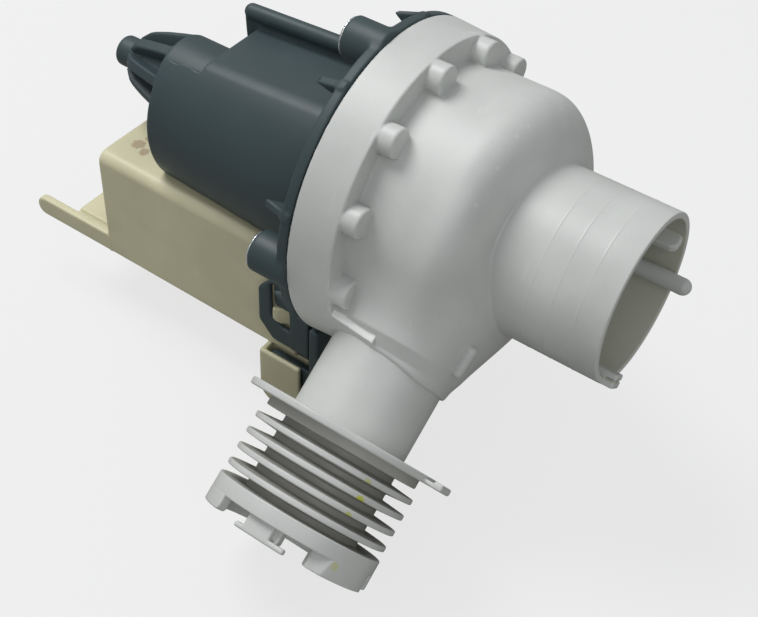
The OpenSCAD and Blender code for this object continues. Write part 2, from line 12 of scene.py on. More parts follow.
import bpy
import numpy as np
from mathutils import Matrix, Vector


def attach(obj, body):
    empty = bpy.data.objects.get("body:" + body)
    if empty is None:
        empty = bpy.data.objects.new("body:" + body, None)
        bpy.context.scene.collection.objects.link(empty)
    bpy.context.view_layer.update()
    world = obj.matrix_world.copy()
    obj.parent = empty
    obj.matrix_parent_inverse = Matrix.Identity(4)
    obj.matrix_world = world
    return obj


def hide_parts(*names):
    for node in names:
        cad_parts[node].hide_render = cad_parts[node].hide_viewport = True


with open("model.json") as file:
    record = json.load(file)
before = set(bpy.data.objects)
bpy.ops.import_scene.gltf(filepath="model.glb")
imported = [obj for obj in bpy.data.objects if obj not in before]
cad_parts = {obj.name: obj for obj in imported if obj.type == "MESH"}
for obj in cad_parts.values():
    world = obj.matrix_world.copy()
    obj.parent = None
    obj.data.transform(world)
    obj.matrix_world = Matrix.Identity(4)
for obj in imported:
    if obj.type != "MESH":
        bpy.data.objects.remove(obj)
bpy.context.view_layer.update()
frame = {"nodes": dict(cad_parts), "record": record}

MM = 0.001
CELL = 0.6
FINE_CELL = 0.3
CASING_CELL = CELL * 0.75
RIM_CELL = FINE_CELL * 1.3
LATHE_STEPS = 192

# Volute
MOUTH_X = 82.6
RING_R, RING_T, RING_DRAFT = 49.2, 13.5, 0.9
DRUM_R, DRUM_FRONT, DRUM_ROUND = 41.2, 52.7, 18.0
LEAN, LEAN_CLOCK = math.radians(12), math.radians(48)
LEAN_R, LEAN_FRONT, LEAN_ROUND = 52.0, 51.0, 34.0
BUMPS, FIRST_BUMP, BUMP_R, BUMP_CIRCLE, BUMP_END = 12, 4.5, 4.4, 43.8, 18.5
INLET_R, INLET_BORE = 25.4, 23.4
MOULD_LINES = (60.2, 67.0, 74.4)
WALL = 3.0

# Outlet, along s from the motor axis
OUTLET_X, OUTLET_CLOCK = 28.4, math.radians(124.5)
OUTLET_R, OUTLET_BORE = 17.45, 14.65
COLLAR_R, COLLAR_S, COLLAR_SHIFT, COLLAR_SIDE = 19.4, 49.5, 0.8, 18.4
LEDGE_FRONT, LEDGE_W, LEDGE_SLOPE, LEDGE_ROOT = 29.3, 17.7, 0.15, 43.0
RIM_FLARE = 0.148
BAR_START, BAR_END, BAR_R = (50.2, -32.8, -13.9), (49.1, -36.6, -19.4), 1.6
FLANGE_S, FLANGE_R, FLANGE_SHIFT, EAR_OUT = 69.5, 29.4, 1.3, 5.3
STEP_S, STEP_R, STEP_END = 71.6, 23.7, 74.5
FIN_R, FIN_S, FIN_PITCH, FINS = 24.9, 78.1, 4.9, 4
FIN_ROOT, FIN_TIP = 1.5, 0.8
END_R, END_S, END_TOP, LUG_TOP = 25.3, 96.3, 100.9, 106.0

# Marks on the casing, grime with painted shade and a painted highlight among them: colours, and dots as place
# towards the inlet, along the outlet, size and strength
GRIME_AND_SHADE, LEDGE_HIGHLIGHT = (0.36, 0.35, 0.32, 1.0), (0.98, 0.98, 0.96, 1.0)
OLIVE, YELLOW_GREEN = (0.50, 0.50, 0.40, 1.0), (0.55, 0.58, 0.06, 1.0)
PAINT_DOTS = (
    (18.3, 79.0, 1.0, 0.6),
    (18.7, 84.0, 1.2, 0.95),
    (18.2, 88.8, 0.9, 0.8),
    (21.0, 102.0, 1.1, 0.4),
)

# Motor housing
PLATE_T, SHORT_BOSS, LONG_BOSS, BOSS_R, SCREW_CIRCLE = 3.5, 4.5, 9.4, 6.3, 44.6
SHROUD_REAR, SHROUD_REAR_R, SHROUD_FRONT_R, SHROUD_WALL = -69.0, 29.2, 32.8, 2.2
ROOF_REAR, ROOF_Z, ROOF_TILT = -54.5, 25.0, math.radians(3.7)
ROOF_OPEN_Y = -18.5
CAN_R, CAN_REAR, NOSE_END, KNOB_R, KNOB_END = 14.2, -80.0, -98.0, 5.0, -104.6
RAIL_Y, RAIL_R, RAIL_H = 8.0, 2.4, 4.2

# Stator cover
COVER_REAR, COVER_FRONT, COVER_HALF_W, COVER_FLARE = -91.0, -12.0, 29.6, 0.6
SLOT_HALF_W = 22.3
COVER_TOP, COVER_BOTTOM, COVER_ROUND, COVER_WALL = -17.5, -58.4, 3.5, 1.8
ARM_END, ARM_TOP, ARM_T = -124.0, -51.5, 2.7
SHELF_END = -108.0
CUP_Y, CUP_REAR, CUP_FRONT, CUP_BOTTOM, CUP_WALL = 34.5, -23.0, -7.5, -79.9, 1.6


# Distance fields


def meet(radius, *faces):
    """What lies behind every face, with the edges between them rounded."""
    grown = [face + radius for face in faces]
    outside = np.sqrt(sum(np.maximum(face, 0) ** 2 for face in grown))
    return outside + np.minimum(np.maximum.reduce(grown), 0) - radius


def join(fillet, first, *others):
    """Union with a fillet of about the given size."""
    result = first
    for other in others:
        near = np.maximum(fillet - np.abs(result - other), 0)
        result = np.minimum(result, other) - near * near / (4 * fillet)
    return result


def carve(fillet, solid, hollow):
    """The solid without the hollow, with its new edges rounded."""
    return -join(fillet, -solid, hollow)


def between(value, low, high):
    """Distance past a slab's two faces."""
    return np.abs(value - (low + high) / 2) - (high - low) / 2


def right_of(u, v, start, end):
    """Distance to the right of the line that runs from start to end."""
    du, dv = end[0] - start[0], end[1] - start[1]
    return ((u - start[0]) * dv - (v - start[1]) * du) / math.hypot(du, dv)


def clock_of(y, z):
    """Angle about the motor axis in degrees, from straight up towards the outlet side."""
    return np.degrees(np.arctan2(-y, z))


def fold(angle, first, count):
    """Angle in radians from the nearest of several evenly spaced directions."""
    pitch = 360 / count
    return np.radians((angle - first + pitch / 2) % pitch - pitch / 2)


def outlet_frame(x, y, z):
    """Distance along the outlet, across it towards the top, and towards the inlet."""
    sine, cosine = math.sin(OUTLET_CLOCK), math.cos(OUTLET_CLOCK)
    return -sine * y + cosine * z, cosine * y + sine * z, x - OUTLET_X


# Meshing


def sample(field, low, shape, cell):
    """Values of a field on a grid, exact only in the small blocks that the surface runs through."""
    block = 4
    blocks = [n // block for n in shape]
    axes = [low[a] + cell * block * (np.arange(blocks[a]) + 0.5) - cell / 2 for a in range(3)]
    middle = np.stack(np.meshgrid(*axes, indexing="ij"), -1).reshape(-1, 3)
    rough = field(*middle.T).reshape(blocks)
    values = np.kron(np.sign(rough) * 9, np.ones((block,) * 3)).astype(np.float32)
    near = np.argwhere(np.abs(rough) < block * cell * 1.25)
    steps = np.stack(np.meshgrid(*[np.arange(block)] * 3, indexing="ij"), -1).reshape(-1, 3)
    index = (near[:, None, :] * block + steps).reshape(-1, 3)
    points = low + cell * index
    values[tuple(index.T)] = field(*points.T)
    return values


def pull(points, field, turns=2):
    """Moves points onto the zero surface and returns them with its normals."""
    reach = 0.05
    for _ in range(turns):
        value = field(*points.T)
        slope = np.stack([
            field(*(points + step).T) - field(*(points - step).T) for step in reach * np.eye(3)
        ], 1) / (2 * reach)
        size = np.maximum(np.linalg.norm(slope, axis=1, keepdims=True), 0.3)
        move = value[:, None] / size
        points = points - np.clip(move, -0.5, 0.5) * slope / size
    return points, slope / size


def relax(points, quads, normals):
    """Evens out the quads by sliding each point along the surface towards its neighbours."""
    tail, head = quads.ravel(), np.roll(quads, -1, axis=1).ravel()
    start, end = np.concatenate([tail, head]), np.concatenate([head, tail])
    count = np.bincount(start, minlength=len(points))
    middle = np.stack([
        np.bincount(start, weights=points[end, a], minlength=len(points)) / count for a in range(3)
    ], 1)
    move = middle - points
    return points + 0.6 * (move - normals * np.sum(move * normals, axis=1, keepdims=True))


def surface(field, low, high, cell):
    """Points and quads of a field's zero surface inside a box."""
    low = np.array(low, float) - 2 * cell
    shape = [int(math.ceil((h - l) / cell / 4 + 1)) * 4 for l, h in zip(low, high)]
    values = sample(field, low, shape, cell)
    inside = values < 0
    cells, places = [], []
    for a in range(3):
        b, c = (a + 1) % 3, (a + 2) % 3
        first = np.moveaxis(inside, a, 0)
        index = np.argwhere(first[:-1] != first[1:])
        here = np.empty_like(index)
        here[:, [a] + [n for n in range(3) if n != a]] = index
        there = here.copy()
        there[:, a] += 1
        v0, v1 = values[tuple(here.T)], values[tuple(there.T)]
        place = here.astype(float)
        place[:, a] += v0 / (v0 - v1)
        corners = np.repeat(here[:, None, :], 4, axis=1)
        corners[:, [0, 3], b] -= 1
        corners[:, [0, 1], c] -= 1
        falling = v0 > 0
        corners[falling] = corners[falling][:, ::-1]
        cells.append(corners)
        places.append(place)
    cells, places = np.concatenate(cells), np.concatenate(places)
    flat = np.ravel_multi_index(tuple(np.moveaxis(cells, -1, 0)), shape)
    _, quads = np.unique(flat.ravel(), return_inverse=True)
    quads = quads.reshape(-1, 4)
    count = np.bincount(quads.ravel())
    points = np.stack([
        np.bincount(quads.ravel(), weights=np.repeat(places[:, a], 4)) / count for a in range(3)
    ], 1)
    points, normals = pull(low + cell * points, field)
    for _ in range(3):
        points, normals = pull(relax(points, quads, normals), field, 1)
    return points, quads


def add_piece(name, points, quads, material, slot, *nodes):
    """Makes a smooth mesh object from points in millimetres, riding the body and standing for CAD nodes."""
    points = (np.asarray(points, float) - [MOUTH_X, 0, 0]) * MM
    quads = np.asarray(quads, np.int32)
    mesh = bpy.data.meshes.new(name)
    mesh.vertices.add(len(points))
    mesh.vertices.foreach_set("co", points.astype(np.float32).ravel())
    mesh.loops.add(quads.size)
    mesh.loops.foreach_set("vertex_index", quads.ravel())
    mesh.polygons.add(len(quads))
    mesh.polygons.foreach_set("loop_start", np.arange(0, quads.size, quads.shape[1], dtype=np.int32))
    mesh.update(calc_edges=True)
    mesh.validate()
    mesh.polygons.foreach_set("use_smooth", np.ones(len(mesh.polygons), bool))
    mesh.materials.append(material)
    piece = bpy.data.objects.new(name, mesh)
    bpy.context.collection.objects.link(piece)
    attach(piece, "pump_body")
    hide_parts(*nodes)
    return piece


def rounded(corners, radius):
    """Closed outline through corners, each cut back to a short arc."""
    corners = np.array(corners, float)
    outline = []
    for i, corner in enumerate(corners):
        before, after = corners[i - 1] - corner, corners[(i + 1) % len(corners)] - corner
        room = min(np.linalg.norm(before), np.linalg.norm(after)) * 0.45
        cut = min(radius, room)
        start = corner + before / np.linalg.norm(before) * cut
        end = corner + after / np.linalg.norm(after) * cut
        for t in (0, 0.25, 0.5, 0.75, 1):
            outline.append((1 - t) ** 2 * start + 2 * t * (1 - t) * corner + t * t * end)
    return np.array(outline)


def lathe(outline):
    """Ring of quads from a closed outline of (distance along the axis, radius)."""
    turn = 2 * math.pi * np.arange(LATHE_STEPS) / LATHE_STEPS
    along = np.repeat(outline[:, 0][None], LATHE_STEPS, 0)
    u, v = np.cos(turn)[:, None] * outline[:, 1], np.sin(turn)[:, None] * outline[:, 1]
    n = len(outline)
    i, j = np.meshgrid(np.arange(LATHE_STEPS), np.arange(n), indexing="ij")
    i2, j2 = (i + 1) % LATHE_STEPS, (j + 1) % n
    quads = np.stack([i * n + j, i2 * n + j, i2 * n + j2, i * n + j2], -1).reshape(-1, 4)
    return np.stack([along, u, v], -1).reshape(-1, 3), quads


def from_outlet(points):
    """Points given along, across and in front of the outlet, in the ring's frame."""
    s, w, t = points.T
    sine, cosine = math.sin(OUTLET_CLOCK), math.cos(OUTLET_CLOCK)
    return np.stack([t + OUTLET_X, -sine * s + cosine * w, cosine * s + sine * w], 1)


# Volute


def drum_form(x, y, z, inset=0.0):
    """A straight rod with a rounded front, cut by a wide one that leans back above the outlet."""
    rho = np.hypot(y, z)
    side = math.cos(LEAN_CLOCK) * z - math.sin(LEAN_CLOCK) * y
    along = math.cos(LEAN) * x + math.sin(LEAN) * side
    across = np.sqrt(np.maximum(x * x + rho * rho - along * along, 0))
    straight = meet(DRUM_ROUND - inset, rho - DRUM_R + inset, x - DRUM_FRONT + inset)
    leaning = meet(LEAN_ROUND - inset, across - LEAN_R + inset, along - LEAN_FRONT + inset)
    return -join(3.0, -straight, -leaning)


def rim_radius(x):
    """Outside of the rim that runs on from the ring and widens round the outlet."""
    return RING_R - RING_DRAFT + RIM_FLARE * np.clip(x - RING_T, 0, LEDGE_FRONT - RING_T)


def collar_form(x, rho, s, w, t):
    """Shoulder round the outlet, wider towards the drum, whose end runs on from the ring's rim."""
    across = t + COLLAR_SHIFT
    front = COLLAR_R + 0.28 * np.maximum(COLLAR_S - s, 0)
    side = COLLAR_SIDE + np.clip(0.9 * (46.5 - s), 0, 3.2)
    flank = (np.hypot(across / np.where(across > 0, front, COLLAR_R), w / side) - 1) * COLLAR_R
    flank = meet(7.0, flank, x - DRUM_FRONT + 0.8)
    return meet(0.7, flank, rho - rim_radius(x), s - COLLAR_S, 15 - s)


def ledge_top(x, w):
    """Distance above the ledge's flat end."""
    return w - LEDGE_W - LEDGE_SLOPE * (x - RING_T)


def ledge_form(x, rho, s, w):
    """Rim between the ring and the collar, whose flat end catches the light."""
    return meet(0.15, ledge_top(x, w), rho - rim_radius(x), x - LEDGE_FRONT, 8 - x, -s, 5 - w)


def ledge_room(x, rho, s, w):
    """What is cut from the shoulder's fillet to bare the ledge's flat end."""
    return meet(0.6, -ledge_top(x, w), rim_radius(x) - 1.6 - rho, x - LEDGE_FRONT - 1.5, 8 - x, 20 - s)


def casing_shape(x, y, z):
    rho, clock = np.hypot(y, z), clock_of(y, z)
    s, w, t = outlet_frame(x, y, z)
    drum = np.maximum(drum_form(x, y, z), -x)
    body = join(9.0, drum, collar_form(x, rho, s, w, t))
    body = join(0.8, body, meet(0.5, rho - INLET_R + 0.02, between(x, 30, 57)))
    ring = meet(0.3, rho - RING_R + RING_DRAFT * x / RING_T, x - RING_T, -x)
    turned = fold(clock, FIRST_BUMP, BUMPS)
    out, side = rho * np.cos(turned) - BUMP_CIRCLE, rho * np.sin(turned)
    bump = meet(0.7, np.hypot(out, side) - BUMP_R, x - BUMP_END, 1 - x)
    rim = np.minimum(np.minimum(ring, bump), ledge_form(x, rho, s, w))
    body = join(0.35, carve(0.8, body, ledge_room(x, rho, s, w)), rim)
    return join(0.3, body, name_bar(x, y, z))


def name_bar(x, y, z):
    """Round-ended bar that stands on the discharge side of the drum's front."""
    start, end = np.array(BAR_START), np.array(BAR_END)
    point = np.stack([x, y, z], -1) - start
    axis = end - start
    along = np.clip(point @ axis / (axis @ axis), 0, 1)
    return np.linalg.norm(point - along[..., None] * axis, axis=-1) - BAR_R


def casing_hollow(x, y, z):
    rho = np.hypot(y, z)
    s, w, t = outlet_frame(x, y, z)
    chamber = drum_form(x, y, z, WALL)
    mouth = np.maximum(rho - INLET_BORE - 0.02, 30 - x)
    outlet = np.maximum(np.hypot(t, w) - OUTLET_BORE, 26 - s)
    return join(1.0, chamber, mouth, outlet)


def casing_field(x, y, z):
    return carve(0.8, casing_shape(x, y, z), casing_hollow(x, y, z))


def finger_field(x, y, z):
    """Pin, tongue and tab that stand inside the inlet."""
    rho, clock = np.hypot(y, z), clock_of(y, z)

    def local(at):
        turned = np.radians(clock - at)
        return rho * np.cos(turned), rho * np.sin(turned)

    out, side = local(-110.5)
    pin_r = 2.5
    pin_end = MOUTH_X + 6.5 - pin_r
    pin = np.sqrt(np.maximum(x - pin_end, 0) ** 2 + (out - 19.5) ** 2 + side ** 2) - pin_r
    pin = join(0.8, pin, meet(0.3, between(out, 20, INLET_BORE + 0.7), between(side, -1, 1), x - MOUTH_X + 9))
    out, side = local(-76.5)
    tongue = meet(2.2, between(out, INLET_BORE - 5.4, INLET_BORE + 0.6), x - MOUTH_X + 0.5)
    tongue = meet(0.5, tongue, np.abs(side) - 1.3)
    out, side = local(140)
    tab = meet(0.5, between(out, INLET_BORE - 2.4, INLET_R - 0.2), np.abs(side) - 3, x - MOUTH_X - 3.4)
    tab = carve(0.3, tab, meet(0.1, between(out, INLET_BORE - 0.7, INLET_BORE - 0.3), MOUTH_X + 0.4 - x))
    return np.maximum(join(0.5, pin, tongue, tab), MOUTH_X - 18 - x)


def spigot_outline():
    """Outline of the inlet spigot with the faint lines that its mould left."""
    corners = [(DRUM_FRONT - 8, INLET_BORE), (DRUM_FRONT - 8, INLET_R)]
    for x in MOULD_LINES:
        crest = INLET_R + 0.06
        corners += [(x - 0.35, INLET_R), (x - 0.1, crest), (x + 0.1, crest), (x + 0.35, INLET_R)]
    corners += [(MOUTH_X, INLET_R), (MOUTH_X, INLET_BORE)]
    return rounded(corners, 0.4)


def sleeve_outline():
    """Outline of the outlet tube with its step, fins and end ring."""
    root = OUTLET_R
    corners = [(COLLAR_S - 6, OUTLET_BORE), (COLLAR_S - 6, root), (STEP_S - 1, root),
               (STEP_S - 1, STEP_R), (STEP_END, STEP_R), (STEP_END, root)]
    for i in range(FINS):
        middle = FIN_S + i * FIN_PITCH
        corners += [(middle - FIN_ROOT, root), (middle - FIN_TIP, FIN_R)]
        corners += [(middle + FIN_TIP, FIN_R), (middle + FIN_ROOT, root)]
    corners += [(END_S, root), (END_S, END_R), (END_TOP, END_R), (END_TOP, OUTLET_BORE)]
    return rounded(corners, 0.45)


def bayonet_field(s, w, t):
    """Rim lugs and T-shaped stops on the end ring, twice round."""
    rho = np.hypot(w, t)
    turn = (np.degrees(np.arctan2(w, t)) + 5.5) % 180 - 5.5
    arc = np.radians(turn) * rho
    rim = END_R + 0.02 - 0.3 * np.maximum(END_TOP - 0.2 - s, 0)
    band = between(rho, END_R - 5, rim)
    side, out = rho * np.cos(np.radians(turn)), rho * np.sin(np.radians(turn))
    facet = 0.32 * side + 0.95 * out - 21.0 - 0.16 * (s - END_TOP)
    right = meet(0.3, band, np.radians(-3) * rho - arc, arc - np.radians(50) * rho, facet, s - LUG_TOP + 0.1)
    tip = meet(1.6, np.radians(121) * rho - arc, s - LUG_TOP + 0.9)
    left = meet(0.4, between(rho, END_R - 3, rim), tip, arc - np.radians(171) * rho)
    stop = between(out, END_R - 4.2, END_R - 2.0)
    stem = meet(0.4, stop, between(side, -3.6, 4.8), s - LUG_TOP + 1.2)
    rib = meet(0.4, between(out, END_R - 7, END_R - 4), between(side, 3, 6.8), s - LUG_TOP + 1.2)
    foot = meet(0.5, stop, between(side, -6, 10), between(s, LUG_TOP - 1.5, LUG_TOP))
    lugs = np.minimum(np.minimum(right, left), join(0.4, stem, rib, foot))
    return np.maximum(lugs, END_TOP - 1.6 - s)


def flange_field(s, w, t):
    """Wide flange, set back from the tube's axis, and its ear on a thinner neck."""
    back = t + FLANGE_SHIFT
    out = back - FLANGE_R
    disc = meet(0.5, np.hypot(w, back) - FLANGE_R, between(s, FLANGE_S, STEP_S + 0.1))
    tip = meet(0.6, between(s, FLANGE_S + 0.1, STEP_S + 0.1), between(w, -3, 6), between(out, 2.4, EAR_OUT))
    neck = meet(0.2, between(s, FLANGE_S + 0.8, STEP_S), between(w, -2.6, 5.6), between(out, -5, 3.2))
    return np.maximum(join(0.2, disc, tip, neck), OUTLET_R - 1 - np.hypot(w, t))


# Motor housing


def roof_frame(x, z):
    """Distance forward along the tilted roof, and above it."""
    sine, cosine = math.sin(ROOF_TILT), math.cos(ROOF_TILT)
    u, v = x - ROOF_REAR, z - ROOF_Z
    return cosine * u + sine * v, cosine * v - sine * u


def shroud_field(x, y, z, rho):
    _, above = roof_frame(x, z)
    slope = (SHROUD_FRONT_R - SHROUD_REAR_R) / (-PLATE_T - SHROUD_REAR)
    cone = rho - (SHROUD_REAR_R + slope * (x - SHROUD_REAR))
    plate = meet(0.4, rho - RING_R, between(x, -PLATE_T, -0.35))
    outer = join(6.0, meet(1.2, cone, above, SHROUD_REAR - x, x + 1), plate)
    inner = meet(0.8, cone + SHROUD_WALL, above + SHROUD_WALL, x + PLATE_T + 1)
    shell = carve(0.6, outer, inner)
    rear_opening = meet(0.6, x - ROOF_REAR, ROOF_OPEN_Y - y)
    shell = carve(0.3, shell, rear_opening)
    below = meet(0.2, z - COVER_TOP + 0.4, x + PLATE_T + 0.6)
    return np.minimum(carve(0.5, shell, below), plate)


def can_field(x, rho, clock):
    can = meet(1.0, rho - CAN_R, CAN_REAR - x, x + 2)
    turned = fold(clock, 22.5, 8)
    steps = [NOSE_END, -94.4, -89.9, -83.6, CAN_REAR]
    crest = np.interp(x, steps, [KNOB_R + 1.4, 9.5, 11.1, 12.9, 13.8])
    side, out = rho * np.sin(turned), rho * np.cos(turned)
    ribs = meet(0.5, np.abs(side) - 1.8, out - crest, NOSE_END - x, x - CAN_REAR - 1)
    core = np.maximum(rho - np.interp(x, [NOSE_END, CAN_REAR], [KNOB_R, 9.2]), between(x, NOSE_END, CAN_REAR))
    knob = meet(1.4, rho - KNOB_R, between(x, KNOB_END, NOSE_END + 2))
    return join(0.5, can, ribs, core, knob)


def rail_field(x, y, z):
    """Beaded rail for the wiring on the far side of the roof."""
    along, above = roof_frame(x, z)
    front = -ROOF_REAR - 6
    across = y - RAIL_Y
    foot = np.where(along < 0, -5, -1) - above
    web = meet(0.4, np.abs(across) - 1, above - RAIL_H, -5 - along, along - front, foot)
    beyond = np.maximum(np.maximum(RAIL_R - 5 - along, along - front + RAIL_R), 0)
    bead = np.sqrt(beyond ** 2 + across ** 2 + (above - RAIL_H) ** 2) - RAIL_R
    return join(0.7, web, bead)


def boss_field(x, rho, clock):
    """Screw bosses on the flange, the one above the stator cover's front being short."""
    turned = fold(clock, FIRST_BUMP, 4)
    across = np.hypot(rho * np.cos(turned) - SCREW_CIRCLE, rho * np.sin(turned))
    low = np.cos(np.radians(clock - FIRST_BUMP - 180)) > 0.7
    length = PLATE_T + np.where(low, SHORT_BOSS, LONG_BOSS)
    return meet(0.8, across - BOSS_R, -length - x, x + 0.2)


def teeth_field(x, rho, clock):
    """Small three-cornered teeth on the rim between the screw bosses."""
    turned = fold(clock, FIRST_BUMP + 22.5, 8)
    out, side = rho * np.cos(turned), rho * np.sin(turned)
    rim, tip, root = (-PLATE_T, RING_R - 0.1), (-PLATE_T - 7.5, RING_R - 2.5), (-PLATE_T, RING_R - 7)
    return meet(0.4, np.abs(side) - 1.25, right_of(x, out, rim, tip), right_of(x, out, tip, root), x + 1)


def holder_field(x, y, z):
    """Skirt, strap and foot that hold the stator cover, on both sides."""
    y = np.abs(y)
    skirt = meet(0.4, between(x, -11.7, -1), between(y, 27.9, 30.2), between(z, -57, -31))
    low_corner = right_of(x, z, (-24, -46.5), (-18.5, -52.5))
    high_corner = right_of(x, z, (-19, -27.5), (-24, -33))
    strap = meet(0.8, between(x, -24, -5), between(z, -52.5, -27.5), low_corner, high_corner)
    low_corner = right_of(x, z, (-19.4, -42.5), (-15.5, -45.9))
    high_corner = right_of(x, z, (-12.2, -37), (-17, -29.2))
    window = meet(0.8, between(x, -19.4, -12.2), between(z, -45.9, -29.2), low_corner, high_corner)
    strap = meet(0.5, carve(0.3, strap, window), between(y, 31.2, 33))
    bridge = meet(0.4, between(x, -11.7, -5), between(y, 29, 33), between(z, -52.5, -29))
    tongue = meet(2.0, between(x, -19, -5), -39 - z, z + 28)
    bridge = np.minimum(bridge, meet(0.4, tongue, between(y, 30.4, 31.6)))
    foot = meet(0.5, between(x, -20, -1), between(y, 29.8, 32.5), between(z, -76, -59.5))
    web = meet(0.5, between(x, -PLATE_T, 0), between(y, 20, 34.6), between(z, -76, -38))
    return join(0.5, skirt, strap, bridge, foot, web)


def housing_field(x, y, z):
    rho, clock = np.hypot(y, z), clock_of(y, z)
    body = shroud_field(x, y, z, rho)
    body = join(1.0, body, boss_field(x, rho, clock), teeth_field(x, rho, clock))
    body = join(0.8, body, rail_field(x, y, z), holder_field(x, y, z))
    body = join(0.6, body, can_field(x, rho, clock))
    bore = meet(0.5, rho - CAN_R + 1.4, -70 - x)
    return carve(0.4, body, bore)


# Stator cover


def cover_half_width(x):
    return COVER_HALF_W + COVER_FLARE * (x - COVER_REAR) / (COVER_FRONT - COVER_REAR)


def shell_field(x, side, z):
    half = cover_half_width(x)
    outer = meet(COVER_ROUND, side - half, z - COVER_TOP)
    outer = meet(0.6, outer, COVER_BOTTOM - z, between(x, COVER_REAR, COVER_FRONT))
    inner = meet(COVER_ROUND - COVER_WALL, side - half + COVER_WALL, z - COVER_TOP + COVER_WALL)
    inner = np.maximum(inner, COVER_BOTTOM + COVER_WALL - z)
    room = meet(0.5, inner, between(x, COVER_REAR + COVER_WALL, COVER_FRONT - 3.8))
    lip = np.maximum(inner, COVER_FRONT - 2 - x)
    slot = meet(0.5, side - SLOT_HALF_W, COVER_TOP - 3 - z, between(x, SHROUD_REAR + 1, COVER_FRONT - 3.8))
    plug = meet(0.2, between(side, 12, 20), between(z, -45.2, -43.9), x - COVER_REAR - 3)
    shell = carve(0.5, outer, np.minimum(room, lip))
    return carve(0.4, carve(0.4, shell, slot), plug)


def arm_field(x, side, z):
    """Rail behind the cover with a round tip, and the shelf between the two rails."""
    middle, half_h = (ARM_TOP + COVER_BOTTOM) / 2, (ARM_TOP - COVER_BOTTOM) / 2
    blade = meet(half_h - 0.05, ARM_END - x, np.abs(z - middle) - half_h)
    edge = COVER_HALF_W
    arm = meet(0.5, blade, between(side, edge - ARM_T, edge), x - COVER_REAR - 1)
    shelf = meet(3.0, SHELF_END - x, side - edge + 0.5)
    shelf = meet(0.4, shelf, between(z, ARM_TOP - 2.2, ARM_TOP - 0.2), x - COVER_REAR - 1)
    gutter = between(side, edge - ARM_T - 1.5, edge - ARM_T - 0.2)
    gutter = meet(0.3, gutter, ARM_TOP - 1.2 - z, x - COVER_REAR + 1.5)
    return join(0.5, arm, carve(0.3, shelf, gutter))


def cup_field(x, side, z):
    """Pocket under the cover's front corner for the housing's foot, open in front and above."""
    block = meet(5.5, between(x, CUP_REAR, CUP_FRONT + 6), CUP_BOTTOM - z)
    block = meet(0.5, block, between(side, 27.6, CUP_Y), z - COVER_BOTTOM, x - CUP_FRONT)
    room = meet(3.9, CUP_REAR + CUP_WALL - x, CUP_BOTTOM + CUP_WALL - z)
    room = meet(0.4, room, between(side, 29.2, CUP_Y - CUP_WALL))
    return carve(0.5, block, room)


def nub_field(x, side, z):
    """Wedge that snaps into the window of the housing's strap."""
    slope = right_of(x, side, (-13.6, 29.8), (-17.6, 32.7))
    return meet(0.4, between(x, -19, -13), slope, between(side, 28.5, 32.7), between(z, -45.6, -39))


def cover_field(x, y, z):
    side = np.abs(y)
    body = join(0.8, shell_field(x, side, z), arm_field(x, side, z))
    return join(0.6, body, cup_field(x, side, z), nub_field(x, side, z))


# Screws


def screw_head_field(x, y, z):
    """Low domed head that points along -x from its seat at zero, with a six-lobed socket."""
    rho = np.hypot(y, z)
    dome = meet(0.3, np.hypot(x - 7, rho) - 9.4, rho - 5.9, x)
    lobes = rho - 1.9 - 0.3 * np.cos(6 * np.arctan2(y, z))
    return carve(0.25, dome, np.maximum(lobes, x + 0.9))


# Materials


class Shader:
    """One material, whose nodes are added by kind with their inputs."""

    def __init__(self, name):
        self.material = bpy.data.materials.new(name)
        self.material.use_nodes = True
        self.tree = self.material.node_tree
        self.tree.nodes.clear()
        self.place = self.add("TexCoord").outputs["Object"]

    def add(self, kind, settings=None, **inputs):
        node = self.tree.nodes.new("ShaderNode" + kind)
        for key, value in (settings or {}).items():
            setattr(node, key, value)
        for key, value in inputs.items():
            numbered = key[0] == "i" and key[1:].isdigit()
            self.feed(node.inputs[int(key[1:]) if numbered else key.replace("_", " ")], value)
        return node

    def feed(self, socket, value):
        if isinstance(value, bpy.types.NodeSocket):
            self.tree.links.new(value, socket)
        else:
            socket.default_value = value

    def math(self, operation, *values):
        node = self.add("Math", {"operation": operation})
        for socket, value in zip(node.inputs, values):
            self.feed(socket, value)
        return node.outputs[0]

    def product(self, first, *others):
        for other in others:
            first = self.math("MULTIPLY", first, other)
        return first

    def vector(self, operation, first, second=None):
        """Vector maths: a difference comes back as a vector, the rest as a number."""
        node = self.add("VectorMath", {"operation": operation}, i0=first)
        if second is not None:
            self.feed(node.inputs[1], second)
        return node.outputs["Vector" if operation == "SUBTRACT" else "Value"]

    def noise(self, size_mm, detail=2.0, stretch=None, rough=0.5):
        """Noise whose features are about the given size."""
        place = self.place
        if stretch:
            place = self.add("Mapping", Vector=place, Scale=stretch).outputs[0]
        settings = {"Scale": 1000 / size_mm, "Detail": detail, "Roughness": rough}
        return self.add("TexNoise", Vector=place, **settings).outputs["Fac"]

    def ramp(self, value, low, high, out_low=0.0, out_high=1.0):
        node = self.add("MapRange", {"interpolation_type": "SMOOTHSTEP"}, Value=value)
        for socket, number in zip(node.inputs[1:5], (low, high, out_low, out_high)):
            socket.default_value = number
        return node.outputs[0]

    def mix(self, factor, first, second):
        node = self.add("Mix", {"data_type": "RGBA"})
        for socket, value in zip((node.inputs[0], node.inputs[6], node.inputs[7]), (factor, first, second)):
            self.feed(socket, value)
        return node.outputs[2]

    def bump(self, height, depth_mm, normal=None):
        node = self.add("Bump", Height=height, Distance=depth_mm * MM, Strength=1.0)
        if normal is not None:
            self.feed(node.inputs["Normal"], normal)
        return node.outputs[0]

    def finish(self, colour, rough, normal=None, metallic=0.0, **extra):
        node = self.add("BsdfPrincipled", None, Metallic=metallic, **extra)
        self.feed(node.inputs["Base Color"], colour)
        self.feed(node.inputs["Roughness"], rough)
        if normal is not None:
            self.feed(node.inputs["Normal"], normal)
        self.add("OutputMaterial", Surface=node.outputs[0])
        return self.material


